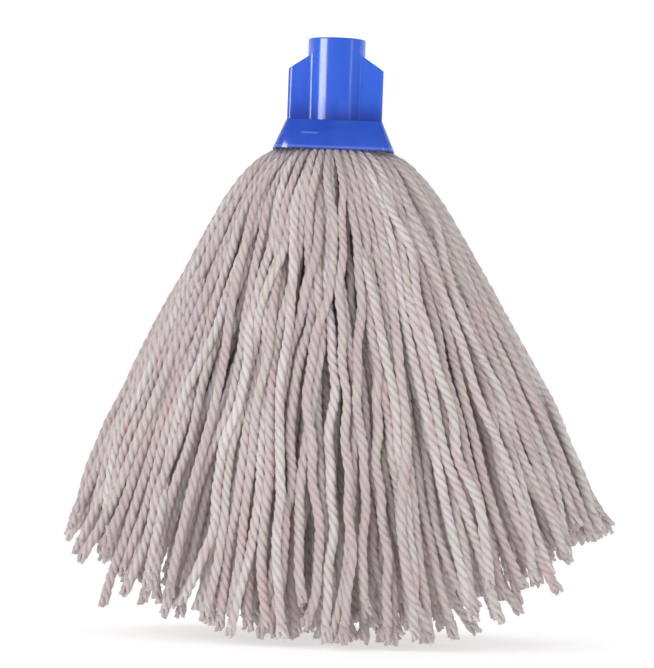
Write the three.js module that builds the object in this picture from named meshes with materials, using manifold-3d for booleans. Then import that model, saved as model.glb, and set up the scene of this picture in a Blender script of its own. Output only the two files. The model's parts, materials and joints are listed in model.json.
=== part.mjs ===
// String mop head: a moulded push-fit socket, a steel yarn staple inside it, and a fan of folded cotton yarn.
// Millimetres, +Z up. The origin is on the socket's axis, level with the longest strand ends.
// The front is the -Y side, and the socket's two wings lie along X.
import * as THREE from 'three';
import { mergeVertices } from 'three/addons/utils/BufferGeometryUtils.js';
import Module from 'manifold-3d';

// Yarn fan
const yarnDrop = 266;          // from the skirt's mouth down to the longest strand ends
const fanWidth = 290;          // across the side strand ends
const fanDepth = 164;          // across the front and back strand ends
const sideLift = 67;           // how far above the longest ends the side strands stop
const frontLift = 9;           // the same for the front and back strands
const neckBulge = 10;          // how far the yarn springs outwards just below the mouth
const neckBulgeDrop = 6.4;     // over what drop it does so
const hankThickness = 24;      // of the swinging layer of yarn, at its ends
const outerHanks = 16;
const innerHanks = 6;
const outerHankGap = 1.2;      // between neighbouring swinging hanks
const innerHankGap = 0.6;      // between neighbouring fixed hanks
const layerGap = 1.2;          // between the swinging layer and the fixed yarn
const footWidth = 150;         // of the fixed yarn where it stands
const footDepth = 100;
const centreHole = 1.5;        // radius left open where the fixed hanks meet

// Where the swinging hanks bend
const pivotDrop = 9;           // below the mouth
const pivotInset = 3;          // inside the skirt's mouth
const pivotRadius = 8.3;       // of the rounded top of each hank, about its pivot
const topNarrowing = 0.7;      // share of its sector that the rounded top keeps, to turn clear of the next
const topTilts = [0, 35, 65];  // degrees, where the rounded top's rings stand
const neckDrops = [4, 9, 18];  // the rings below the pivot, before the even ones

// Socket: tube, wings and skirt
const handleDiameter = 25.4;
const tubeWall = 3.05;
const tubeHeight = 45.3;       // above the skirt
const tubeEdgeRadius = 0.8;
const gripRibCount = 8;
const gripRibWidth = 1.2;
const gripRibDepth = 0.8;
const gripRibTopDrop = 6;      // the ribs stop this far below the rim
const wingShoulder = 28.1;     // height of the wing's outer corner above the skirt
const wingSlope = 33.7;        // degrees, of the bevel from the shoulder up to the tube
const wingEdgeRadius = 2.5;
const wingFillet = 3;          // where the wing meets the tube
const wingWall = 2.2;
const pocketTopDrop = 3.8;     // the pocket stops this far below the shoulder
const pocketTubeGap = 1.45;    // from the tube to the pocket
const pocketSideRoom = 1.8;    // between the staple's leg and the pocket, along X
const pocketEndRoom = 2.5;     // the same along Y
const skirtHeight = 16.1;
const skirtTopDepth = 43;
const skirtSideFlare = 7.2;    // how much further out the mouth is than the top, on each side
const skirtFrontFlare = 6.5;
const skirtTopCorner = 4;
const skirtMouthCorner = 12;
const skirtWall = 2.3;
const skirtPlate = 2.4;        // between the bore's floor and the yarn

// Yarn staple: a steel strip bent to a U
const stapleStrip = 1.8;
const stapleWidth = 8;
const stapleBend = 3.6;        // outside radius
const stapleRise = 3.6;        // crossbar's height above the mouth
const stapleTopGap = 3;        // from its tips to the end of the pocket
const barbReach = 1.2;
const barbLength = 3.4;
const barbCount = 3;
const barbPitch = 6;
const stapleClearance = 0.5;

// Fits and facets
const seatGap = 0.4;           // between yarn, staple and plastic
const roundSegments = 64;
const cornerSteps = 6;
const sectorSteps = 4;
const barrelLevels = 6;
const innerLevels = [1, 0.6, 0.25, 0];  // shares of the way from the ends up to the pivots
const smallestCorner = 1;      // radius left in a corner that an inset draws in
const overcut = 1;             // how far a cutter runs past the face that it opens

const mouthZ = yarnDrop;
const ledgeZ = mouthZ + skirtHeight;
const rimZ = ledgeZ + tubeHeight;
const boreRadius = handleDiameter / 2;
const tubeRadius = boreRadius + tubeWall;
const pocketInnerX = tubeRadius + pocketTubeGap;
const pocketOuterX = pocketInnerX + pocketSideRoom + stapleStrip + barbReach + pocketSideRoom;
const pocketHalfY = stapleWidth / 2 + pocketEndRoom;
const legX = pocketInnerX + pocketSideRoom + stapleStrip / 2;
const wingHalf = pocketOuterX + wingWall;
const wingHalfY = pocketHalfY + wingWall;
const mouthHalfX = wingHalf + skirtSideFlare;
const mouthHalfY = skirtTopDepth / 2 + skirtFrontFlare;
const pocketTopZ = ledgeZ + wingShoulder - pocketTopDrop;

const wasm = await Module();
wasm.setup();

const plastic = new THREE.MeshStandardMaterial({ color: 0x3f62dc, roughness: 0.3, metalness: 0 });
const cotton = new THREE.MeshStandardMaterial({ color: 0xc9bdb9, roughness: 0.95, metalness: 0 });
const steel = new THREE.MeshStandardMaterial({ color: 0xb6b8ba, roughness: 0.35, metalness: 1 });

const group = new THREE.Group();

function addPiece(name, geometry, material) {
  const mesh = new THREE.Mesh(geometry, material.clone());
  mesh.name = name;
  group.add(mesh);
}

function toSolid(geometry) {
  const bare = geometry.clone();
  bare.deleteAttribute('normal');
  bare.deleteAttribute('uv');
  const merged = mergeVertices(bare, 1e-4);
  const vertProperties = new Float32Array(merged.attributes.position.array);
  const triVerts = new Uint32Array(merged.index.array);
  return new wasm.Manifold(new wasm.Mesh({ numProp: 3, vertProperties, triVerts }));
}

function toGeometry(solid) {
  const mesh = solid.getMesh();
  const geometry = new THREE.BufferGeometry();
  geometry.setAttribute('position', new THREE.BufferAttribute(new Float32Array(mesh.vertProperties), 3));
  geometry.setIndex(new THREE.BufferAttribute(new Uint32Array(mesh.triVerts), 1));
  geometry.computeVertexNormals();
  return geometry;
}

// A closed skin over rings of equal length, given from the lowest up, each anticlockwise seen from above.
// Each face is split along its shorter diagonal, so two neighbours that share a twisted side split it alike.
function loft(rings) {
  const count = rings[0].length;
  const points = rings.flat();
  const positions = points.flatMap((point) => [point.x, point.y, point.z]);
  const index = [];
  for (let level = 0; level + 1 < rings.length; level += 1) {
    for (let i = 0; i < count; i += 1) {
      const a = level * count + i;
      const b = level * count + (i + 1) % count;
      if (points[a].distanceTo(points[b + count]) < points[b].distanceTo(points[a + count])) {
        index.push(a, b, b + count, a, b + count, a + count);
      } else {
        index.push(a, b, a + count, b, b + count, a + count);
      }
    }
  }
  const flat = (ring) => ring.map((point) => new THREE.Vector2(point.x, point.y));
  const top = (rings.length - 1) * count;
  for (const [a, b, c] of THREE.ShapeUtils.triangulateShape(flat(rings[0]), [])) {
    index.push(a, c, b);
  }
  for (const [a, b, c] of THREE.ShapeUtils.triangulateShape(flat(rings[rings.length - 1]), [])) {
    index.push(top + a, top + b, top + c);
  }
  const geometry = new THREE.BufferGeometry();
  geometry.setAttribute('position', new THREE.Float32BufferAttribute(positions, 3));
  geometry.setIndex(index);
  geometry.computeVertexNormals();
  return geometry;
}

function roundedRing(halfX, halfY, corner, z) {
  const ring = [];
  for (let quarter = 0; quarter < 4; quarter += 1) {
    const signX = quarter === 0 || quarter === 3 ? 1 : -1;
    const signY = quarter < 2 ? 1 : -1;
    for (let step = 0; step <= cornerSteps; step += 1) {
      const angle = (quarter + step / cornerSteps) * Math.PI / 2;
      const x = signX * (halfX - corner) + corner * Math.cos(angle);
      const y = signY * (halfY - corner) + corner * Math.sin(angle);
      ring.push(new THREE.Vector3(x, y, z));
    }
  }
  return ring;
}

// Extrudes a shape drawn in X and Z by a width centred on Y = 0.
function extrudeAcross(shape, width) {
  const geometry = new THREE.ExtrudeGeometry(shape, {
    depth: width, bevelEnabled: false, curveSegments: cornerSteps,
  });
  geometry.rotateX(Math.PI / 2);
  geometry.translate(0, width / 2, 0);
  return geometry;
}

function block(minX, maxX, halfY, minZ, maxZ) {
  const geometry = new THREE.BoxGeometry(maxX - minX, 2 * halfY, maxZ - minZ);
  geometry.translate((minX + maxX) / 2, 0, (minZ + maxZ) / 2);
  return geometry;
}

// The skirt's outside at a height above the mouth, drawn in by an inset.
function skirtRing(rise, inset, z) {
  const share = rise / skirtHeight;
  const halfX = THREE.MathUtils.lerp(mouthHalfX, wingHalf, share);
  const halfY = THREE.MathUtils.lerp(mouthHalfY, skirtTopDepth / 2, share);
  const corner = THREE.MathUtils.lerp(skirtMouthCorner, skirtTopCorner, share);
  return roundedRing(halfX - inset, halfY - inset, Math.max(corner - inset, smallestCorner), z);
}

function tubeSolid() {
  const bottomZ = ledgeZ - skirtPlate / 2;
  const profile = [new THREE.Vector2(0, bottomZ), new THREE.Vector2(tubeRadius, bottomZ)];
  for (let step = 0; step <= cornerSteps; step += 1) {
    const angle = step / cornerSteps * Math.PI / 2;
    const radius = tubeRadius - tubeEdgeRadius * (1 - Math.cos(angle));
    profile.push(new THREE.Vector2(radius, rimZ - tubeEdgeRadius * (1 - Math.sin(angle))));
  }
  profile.push(new THREE.Vector2(0, rimZ));
  const lathe = new THREE.LatheGeometry(profile, roundSegments);
  lathe.rotateX(Math.PI / 2);
  return toSolid(lathe);
}

// The plan of both wings with the fillets that run into the tube.
function wingPlan() {
  const halfY = wingHalfY;
  const edge = wingEdgeRadius;
  const filletX = Math.sqrt((tubeRadius + wingFillet) ** 2 - (halfY + wingFillet) ** 2);
  const filletY = halfY + wingFillet;
  const filletEnd = Math.PI + Math.atan2(filletY, filletX);
  const shape = new THREE.Shape();
  shape.moveTo(wingHalf, -halfY + edge);
  shape.absarc(wingHalf - edge, halfY - edge, edge, 0, Math.PI / 2, false);
  shape.absarc(filletX, filletY, wingFillet, -Math.PI / 2, filletEnd - 2 * Math.PI, true);
  shape.absarc(-filletX, filletY, wingFillet, 3 * Math.PI - filletEnd, 1.5 * Math.PI, true);
  shape.absarc(-wingHalf + edge, halfY - edge, edge, Math.PI / 2, Math.PI, false);
  shape.absarc(-wingHalf + edge, -halfY + edge, edge, Math.PI, 1.5 * Math.PI, false);
  shape.absarc(-filletX, -filletY, wingFillet, Math.PI / 2, filletEnd - Math.PI, true);
  shape.absarc(filletX, -filletY, wingFillet, 2 * Math.PI - filletEnd, Math.PI / 2, true);
  shape.absarc(wingHalf - edge, -halfY + edge, edge, -Math.PI / 2, 0, false);
  return shape;
}

// Both wings, level where they stand inside the tube's wall and bevelled outwards from there.
function wingSolid() {
  const rise = Math.tan(THREE.MathUtils.degToRad(wingSlope));
  const rootX = Math.sqrt(tubeRadius ** 2 - (wingHalfY + wingFillet) ** 2);
  const shoulderZ = ledgeZ + wingShoulder;
  const crownZ = shoulderZ + (wingHalf - rootX) * rise;
  const bottomZ = ledgeZ - skirtPlate / 2;
  const plan = new THREE.ExtrudeGeometry(wingPlan(), {
    depth: crownZ - bottomZ, bevelEnabled: false, curveSegments: cornerSteps,
  });
  plan.translate(0, 0, bottomZ);
  const front = new THREE.Shape();
  const sideX = wingHalf + overcut;
  front.moveTo(-sideX, bottomZ - overcut);
  front.lineTo(sideX, bottomZ - overcut);
  front.lineTo(sideX, shoulderZ - overcut * rise);
  front.lineTo(rootX, crownZ);
  front.lineTo(-rootX, crownZ);
  front.lineTo(-sideX, shoulderZ - overcut * rise);
  return toSolid(plan).intersect(toSolid(extrudeAcross(front, 4 * wingHalfY)));
}

function gripRibs() {
  const bottomZ = ledgeZ - skirtPlate / 2;
  const topZ = rimZ - gripRibTopDrop;
  const ribs = [];
  for (let i = 0; i < gripRibCount; i += 1) {
    const rib = block(boreRadius - gripRibDepth, boreRadius + tubeWall / 2, gripRibWidth / 2, bottomZ, topZ);
    rib.rotateZ((i + 0.5) / gripRibCount * 2 * Math.PI);
    ribs.push(toSolid(rib));
  }
  return ribs;
}

function socketBody() {
  const boreDepth = tubeHeight + overcut;
  const bore = new THREE.CylinderGeometry(boreRadius, boreRadius, boreDepth, roundSegments);
  bore.rotateX(Math.PI / 2);
  bore.translate(0, 0, ledgeZ + boreDepth / 2);
  const ceiling = skirtHeight - skirtPlate;
  const skirt = toSolid(loft([skirtRing(0, 0, mouthZ), skirtRing(skirtHeight, 0, ledgeZ)]));
  const cavity = toSolid(loft([
    skirtRing(-overcut, skirtWall, mouthZ - overcut),
    skirtRing(ceiling, skirtWall, mouthZ + ceiling),
  ]));
  let body = tubeSolid().add(wingSolid()).subtract(toSolid(bore));
  for (const rib of gripRibs()) {
    body = body.add(rib);
  }
  body = body.add(skirt).subtract(cavity);
  for (const [minX, maxX] of [[pocketInnerX, pocketOuterX], [-pocketOuterX, -pocketInnerX]]) {
    body = body.subtract(toSolid(block(minX, maxX, pocketHalfY, mouthZ + ceiling - overcut, pocketTopZ)));
  }
  return toGeometry(body);
}

// The U of the staple in X and Z. A grow of more than zero gives the room that the yarn leaves round it.
function stapleShape(grow, barbs) {
  const half = stapleStrip / 2 + grow;
  const outerX = legX + half;
  const innerX = legX - half;
  const lowZ = mouthZ + stapleRise - grow;
  const highZ = lowZ + 2 * half;
  const tipZ = pocketTopZ - stapleTopGap + grow;
  const outerBend = stapleBend + grow;
  const innerBend = Math.max(outerBend - 2 * half, stapleStrip / 4);
  const shape = new THREE.Shape();
  shape.moveTo(-outerX + outerBend, lowZ);
  shape.absarc(outerX - outerBend, lowZ + outerBend, outerBend, -Math.PI / 2, 0, false);
  for (let i = barbs - 1; i >= 0; i -= 1) {
    const baseZ = tipZ - barbLength - i * barbPitch;
    shape.lineTo(outerX, baseZ);
    shape.lineTo(outerX + barbReach, baseZ);
    shape.lineTo(outerX, baseZ + barbLength);
  }
  if (barbs === 0) {
    shape.lineTo(outerX, tipZ);
  }
  shape.lineTo(innerX, tipZ);
  shape.absarc(innerX - innerBend, highZ + innerBend, innerBend, 0, -Math.PI / 2, true);
  shape.absarc(-innerX + innerBend, highZ + innerBend, innerBend, 1.5 * Math.PI, Math.PI, true);
  shape.lineTo(-innerX, tipZ);
  if (barbs === 0) {
    shape.lineTo(-outerX, tipZ);
  }
  for (let i = 0; i < barbs; i += 1) {
    const baseZ = tipZ - barbLength - i * barbPitch;
    shape.lineTo(-outerX, baseZ + barbLength);
    shape.lineTo(-outerX - barbReach, baseZ);
    shape.lineTo(-outerX, baseZ);
  }
  shape.absarc(-outerX + outerBend, lowZ + outerBend, outerBend, Math.PI, 1.5 * Math.PI, false);
  return shape;
}

// The folded middle of the yarn, pulled up into the skirt over the staple's crossbar.
function yarnFold() {
  const inset = skirtWall + seatGap;
  const topRise = skirtHeight - skirtPlate - seatGap;
  const packed = toSolid(loft([
    skirtRing(seatGap, inset, mouthZ + seatGap),
    skirtRing(topRise, inset, mouthZ + topRise),
  ]));
  const room = toSolid(extrudeAcross(stapleShape(stapleClearance, 0), stapleWidth + 2 * stapleClearance));
  return toGeometry(packed.subtract(room));
}

// Half-axes of the yarn fan's outside at a drop below the mouth.
function fanHalf(drop) {
  const bulge = neckBulge * (1 - Math.exp(-drop / neckBulgeDrop));
  const grow = (mouth, end, endDrop) => mouth + bulge + (end - mouth - neckBulge) * drop / endDrop;
  return new THREE.Vector2(
    grow(mouthHalfX - skirtWall, fanWidth / 2, yarnDrop - sideLift),
    grow(mouthHalfY - skirtWall, fanDepth / 2, yarnDrop - frontLift),
  );
}

// Half-axes of the ellipse on which the hanks' pivots stand.
function pivotHalf() {
  const inset = skirtWall + pivotInset;
  return new THREE.Vector2(mouthHalfX - inset, mouthHalfY - inset);
}

// Half-axes of the swinging layer's inside.
function layerInside(drop) {
  const start = pivotHalf().subScalar(pivotRadius);
  const sideEnd = fanHalf(yarnDrop - sideLift).x - hankThickness;
  const frontEnd = fanHalf(yarnDrop - frontLift).y - hankThickness;
  const below = Math.max(drop - pivotDrop, 0);
  return new THREE.Vector2(
    start.x + (sideEnd - start.x) * below / (yarnDrop - sideLift - pivotDrop),
    start.y + (frontEnd - start.y) * below / (yarnDrop - frontLift - pivotDrop),
  );
}

// How far below the mouth the strands at an angle round the fan end.
function endDrop(angle) {
  return yarnDrop - THREE.MathUtils.lerp(frontLift, sideLift, Math.cos(angle) ** 2);
}

// One arc of a sector's ring. Its ends stop half a gap short of the sector's edges, at the edges' own height.
function sectorArc(sector, halfAt, dropAt) {
  const { middle, halfAngle, gap } = sector;
  const arc = [];
  for (let step = 0; step <= sectorSteps; step += 1) {
    const side = 2 * step / sectorSteps - 1;
    const edge = middle + Math.sign(side) * halfAngle;
    const drop = dropAt(middle + side * halfAngle);
    const half = halfAt(drop);
    const gapAngle = gap / 2 / Math.hypot(half.x * Math.sin(edge), half.y * Math.cos(edge));
    const angle = middle + side * (halfAngle - gapAngle);
    arc.push(new THREE.Vector3(half.x * Math.cos(angle), half.y * Math.sin(angle), mouthZ - drop));
  }
  return arc;
}

function sectorRing(sector, outerAt, innerAt, dropAt) {
  return [...sectorArc(sector, outerAt, dropAt), ...sectorArc(sector, innerAt, dropAt).reverse()];
}

// A swinging hank: a rounded top about its pivot, then a sector of the fan down to the strand ends.
function outerHank(middle) {
  const sector = { middle, halfAngle: Math.PI / outerHanks, gap: outerHankGap };
  const lastNeck = pivotDrop + neckDrops[neckDrops.length - 1];
  const rings = [];
  for (let level = 0; level <= barrelLevels; level += 1) {
    const share = 1 - level / barrelLevels;
    const dropAt = (angle) => THREE.MathUtils.lerp(lastNeck, endDrop(angle), share);
    rings.push(sectorRing(sector, fanHalf, layerInside, dropAt));
  }
  for (const below of neckDrops.slice(0, -1).reverse()) {
    rings.push(sectorRing(sector, fanHalf, layerInside, () => pivotDrop + below));
  }
  const pivot = pivotHalf();
  const narrow = { middle, halfAngle: sector.halfAngle * topNarrowing, gap: outerHankGap };
  for (const tilt of topTilts) {
    const angle = THREE.MathUtils.degToRad(tilt);
    const spread = pivotRadius * Math.cos(angle);
    const drop = pivotDrop - pivotRadius * Math.sin(angle);
    const outer = pivot.clone().addScalar(spread);
    const inner = pivot.clone().subScalar(spread);
    rings.push(sectorRing(narrow, () => outer, () => inner, () => drop));
  }
  return loft(rings);
}

// A fixed hank: a sector of the yarn inside the swinging layer, with a flat foot to stand on.
function innerHank(middle) {
  const sector = { middle, halfAngle: Math.PI / innerHanks, gap: innerHankGap };
  const hole = new THREE.Vector2(centreHole, centreHole);
  const foot = new THREE.Vector2(footWidth / 2, footDepth / 2);
  const outerAt = (drop) => layerInside(drop).subScalar(layerGap);
  const rings = [sectorRing(sector, () => foot, () => hole, () => yarnDrop)];
  for (const share of innerLevels) {
    const dropAt = (angle) => THREE.MathUtils.lerp(pivotDrop, endDrop(angle), share);
    rings.push(sectorRing(sector, outerAt, () => hole, dropAt));
  }
  rings.push(sectorRing(sector, outerAt, () => hole, () => 0));
  return loft(rings);
}

addPiece('socket_body', socketBody(), plastic);
addPiece('yarn_staple', extrudeAcross(stapleShape(0, barbCount), stapleWidth), steel);
addPiece('yarn_fold', yarnFold(), cotton);
for (let i = 0; i < innerHanks; i += 1) {
  addPiece(`inner_hank_${i + 1}`, innerHank(i / innerHanks * 2 * Math.PI), cotton);
}
for (let i = 0; i < outerHanks; i += 1) {
  const name = `outer_hank_${String(i + 1).padStart(2, '0')}`;
  addPiece(name, outerHank((i + 0.5) / outerHanks * 2 * Math.PI), cotton);
}

export default group;
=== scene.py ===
"""String mop head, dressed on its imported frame.

A blue moulded handle socket grips a steel staple, and the staple holds a fan of folded, plied
cotton yarn. The front of the mop is its -Y side and the socket's two wings lie along X. All sizes
are in metres.
"""

import json
import logging
import math
from dataclasses import dataclass, field
from enum import Enum
from typing import Any, Iterable, Sequence

import bmesh
import bpy
import numpy as np
from mathutils import Matrix, Vector

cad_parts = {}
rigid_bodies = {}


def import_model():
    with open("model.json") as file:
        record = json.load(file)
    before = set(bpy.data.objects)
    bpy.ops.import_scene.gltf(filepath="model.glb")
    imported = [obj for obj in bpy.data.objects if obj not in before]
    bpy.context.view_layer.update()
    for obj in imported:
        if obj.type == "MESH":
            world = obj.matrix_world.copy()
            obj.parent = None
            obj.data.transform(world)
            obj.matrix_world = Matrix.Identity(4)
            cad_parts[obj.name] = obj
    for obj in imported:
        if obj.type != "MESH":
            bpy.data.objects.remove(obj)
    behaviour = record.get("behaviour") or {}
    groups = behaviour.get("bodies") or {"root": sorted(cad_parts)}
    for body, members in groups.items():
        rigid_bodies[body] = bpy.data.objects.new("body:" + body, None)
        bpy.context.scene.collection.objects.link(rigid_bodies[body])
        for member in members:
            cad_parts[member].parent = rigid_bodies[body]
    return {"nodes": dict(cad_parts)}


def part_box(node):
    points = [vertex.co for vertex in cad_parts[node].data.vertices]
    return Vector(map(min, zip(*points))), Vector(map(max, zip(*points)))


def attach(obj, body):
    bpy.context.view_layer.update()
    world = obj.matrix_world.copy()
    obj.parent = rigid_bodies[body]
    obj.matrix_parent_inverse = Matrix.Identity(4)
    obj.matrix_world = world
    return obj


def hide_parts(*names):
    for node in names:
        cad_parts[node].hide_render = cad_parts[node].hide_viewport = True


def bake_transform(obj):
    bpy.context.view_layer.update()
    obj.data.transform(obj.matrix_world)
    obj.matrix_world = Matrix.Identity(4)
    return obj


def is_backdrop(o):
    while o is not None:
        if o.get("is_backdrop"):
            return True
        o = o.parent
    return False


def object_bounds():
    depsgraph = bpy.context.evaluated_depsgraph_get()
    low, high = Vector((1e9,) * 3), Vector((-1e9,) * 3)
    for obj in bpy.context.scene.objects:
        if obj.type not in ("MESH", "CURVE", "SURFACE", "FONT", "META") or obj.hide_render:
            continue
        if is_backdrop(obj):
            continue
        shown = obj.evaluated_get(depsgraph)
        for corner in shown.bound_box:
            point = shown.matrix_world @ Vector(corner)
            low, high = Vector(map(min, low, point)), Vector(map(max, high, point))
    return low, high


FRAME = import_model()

LOG = logging.getLogger("string_mop")
TAU = 2.0 * math.pi

Array = np.ndarray
Colour = tuple[float, float, float]


# ---------------------------------------------------------------------------------------------
# Node sheets
# ---------------------------------------------------------------------------------------------


class NodeSheet:
    """Adds nodes to one tree and joins their sockets."""

    def __init__(self, tree: bpy.types.NodeTree) -> None:
        """Start with an empty tree.

        Args:
            tree: The shader or geometry tree that is filled.
        """
        self.tree = tree
        self.tree.nodes.clear()

    def add(self, kind: str, inputs: dict[Any, Any] | None = None, **settings: Any) -> bpy.types.Node:
        """Add a node.

        Args:
            kind: The node's type name.
            inputs: Values or output sockets, by input name or number.
            settings: Properties of the node itself.

        Returns:
            The new node.
        """
        node = self.tree.nodes.new(kind)
        for name, value in settings.items():
            setattr(node, name, value)
        for key, value in (inputs or {}).items():
            self.feed(node.inputs[key], value)
        return node

    def feed(self, socket: bpy.types.NodeSocket, value: Any) -> None:
        """Give an input its value, or join an output to it."""
        if isinstance(value, bpy.types.NodeSocket):
            self.tree.links.new(value, socket)
        else:
            socket.default_value = value

    def math(self, operation: str, *values: Any) -> bpy.types.NodeSocket:
        """Add a Math node and return its result."""
        return self.add("ShaderNodeMath", dict(enumerate(values)), operation=operation).outputs[0]

    def vector(self, operation: str, *values: Any) -> bpy.types.NodeSocket:
        """Add a Vector Math node and return its vector."""
        node = self.add("ShaderNodeVectorMath", dict(enumerate(values)), operation=operation)
        return node.outputs[0]

    def span(self, value: Any, source: tuple[float, float], target: tuple[float, float]) -> Any:
        """Map a value from one span to another, held at its ends, and return the result."""
        numbers = {0: value, 1: source[0], 2: source[1], 3: target[0], 4: target[1]}
        return self.add("ShaderNodeMapRange", numbers).outputs[0]

    def blend(self, share: Any, first: Any, second: Any, how: str = "MIX") -> bpy.types.NodeSocket:
        """Mix two colours and return the result.

        Args:
            share: How much of the second colour shows, 0 to 1.
            first: The colour below.
            second: The colour above.
            how: The blend type.

        Returns:
            The colour socket.
        """
        node = self.add("ShaderNodeMix", data_type="RGBA", blend_type=how)
        for socket, value in ((node.inputs[0], share), (node.inputs[6], first), (node.inputs[7], second)):
            self.feed(socket, value)
        return node.outputs[2]

    def noise(self, place: Any, scale: float, detail: float = 2.0, rough: float = 0.5) -> Any:
        """Add a noise texture and return its grey value."""
        numbers = {"Vector": place, "Scale": scale, "Detail": detail, "Roughness": rough}
        return self.add("ShaderNodeTexNoise", numbers).outputs[0]

    def ramp(self, value: Any, stops: Sequence[tuple[float, Colour]]) -> bpy.types.NodeSocket:
        """Add a colour ramp and return its colour.

        Args:
            value: What the ramp reads.
            stops: Positions and colours, from low to high.

        Returns:
            The colour socket.
        """
        node = self.add("ShaderNodeValToRGB", {0: value})
        band = node.color_ramp
        while len(band.elements) < len(stops):
            band.elements.new(0.5)
        for element, (place, colour) in zip(band.elements, stops):
            element.position = place
            element.color = (*colour, 1.0)
        return node.outputs[0]


# ---------------------------------------------------------------------------------------------
# Finishes
# ---------------------------------------------------------------------------------------------


@dataclass(frozen=True)
class Finish:
    """A procedural material, made once."""

    title: str

    def material(self) -> bpy.types.Material:
        """Return the material, making it the first time."""
        made = bpy.data.materials.get(self.title)
        if made is None:
            made = bpy.data.materials.new(self.title)
            made.use_nodes = True
            sheet = NodeSheet(made.node_tree)
            shader = sheet.add("ShaderNodeBsdfPrincipled")
            self.paint(sheet, shader)
            sheet.add("ShaderNodeOutputMaterial", {"Surface": shader.outputs[0]})
        return made

    def paint(self, sheet: NodeSheet, shader: bpy.types.Node) -> None:
        """Fill in the shader. Each finish has its own way."""
        raise NotImplementedError


@dataclass(frozen=True)
class CottonYarn(Finish):
    """Undyed, plied cotton: pale, matt and fibrous, with painted shade darkening the grooves between the
    plies.
    """

    title: str = "plied_cotton"
    warm: Colour = (0.690, 0.600, 0.610)
    rosy: Colour = (0.570, 0.460, 0.470)
    cream: Colour = (0.760, 0.692, 0.690)
    pale: Colour = (0.840, 0.790, 0.800)
    # The next colour is the painted shade in the grooves between the plies.
    groove: Colour = (0.420, 0.300, 0.300)
    fleck: Colour = (0.460, 0.330, 0.270)
    blush: Colour = (0.700, 0.500, 0.490)
    straw: Colour = (0.700, 0.665, 0.530)
    fibres_round: float = 7.0
    fibres_along: float = 260.0
    slub_along: float = 55.0

    def paint(self, sheet: NodeSheet, shader: bpy.types.Node) -> None:
        """Fill in the shader from the yarn's own attributes.

        Args:
            sheet: The material's nodes.
            shader: The principled shader.
        """
        fibre = sheet.add("ShaderNodeAttribute", attribute_name="fibre").outputs["Vector"]
        crest = sheet.add("ShaderNodeAttribute", attribute_name="crest").outputs["Fac"]
        tone = sheet.add("ShaderNodeAttribute", attribute_name="tone").outputs["Fac"]
        round_about = self.fibres_round
        hair = sheet.noise(
            sheet.vector("MULTIPLY", fibre, (round_about, round_about, self.fibres_along)), 1.0, 3.0, 0.6
        )
        slub = sheet.noise(sheet.vector("MULTIPLY", fibre, (0.8, 0.8, self.slub_along)), 1.0, 2.0, 0.55)
        specks = sheet.noise(sheet.vector("MULTIPLY", fibre, (2.2, 2.2, 420.0)), 1.0, 1.0, 0.4)
        shade = sheet.math("ADD", sheet.math("MULTIPLY", tone, 0.72), sheet.math("MULTIPLY", slub, 0.36))
        base = sheet.ramp(
            shade, ((0.10, self.rosy), (0.42, self.warm), (0.68, self.cream), (0.92, self.pale))
        )
        patch = sheet.noise(sheet.vector("MULTIPLY", fibre, (0.35, 0.35, 38.0)), 1.0, 1.0, 0.5)
        base = sheet.blend(sheet.span(patch, (0.50, 0.70), (0.0, 0.75)), base, (*self.blush, 1.0))
        base = sheet.blend(sheet.span(patch, (0.44, 0.26), (0.0, 0.70)), base, (*self.straw, 1.0))
        streaks = sheet.blend(sheet.span(hair, (0.32, 0.72), (0.0, 0.38)), base, (*self.pale, 1.0))
        flecks = sheet.blend(sheet.span(specks, (0.70, 0.78), (0.0, 0.5)), streaks, (*self.fleck, 1.0))
        # Painted shade: where the crest attribute falls towards a groove between plies, the colour is mixed
        # towards the groove colour.
        depth = sheet.span(crest, (0.0, 0.90), (0.40, 0.0))
        colour = sheet.blend(depth, flecks, (*self.groove, 1.0))
        height = sheet.math("ADD", hair, sheet.math("MULTIPLY", slub, 0.5))
        bump = sheet.add("ShaderNodeBump", {"Strength": 0.85, "Distance": 0.0005, "Height": height})
        sheet.feed(shader.inputs["Base Color"], colour)
        sheet.feed(shader.inputs["Normal"], bump.outputs[0])
        shader.inputs["Roughness"].default_value = 0.92
        shader.inputs["Specular IOR Level"].default_value = 0.25
        shader.inputs["Sheen Weight"].default_value = 0.18
        shader.inputs["Sheen Roughness"].default_value = 0.5


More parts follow.
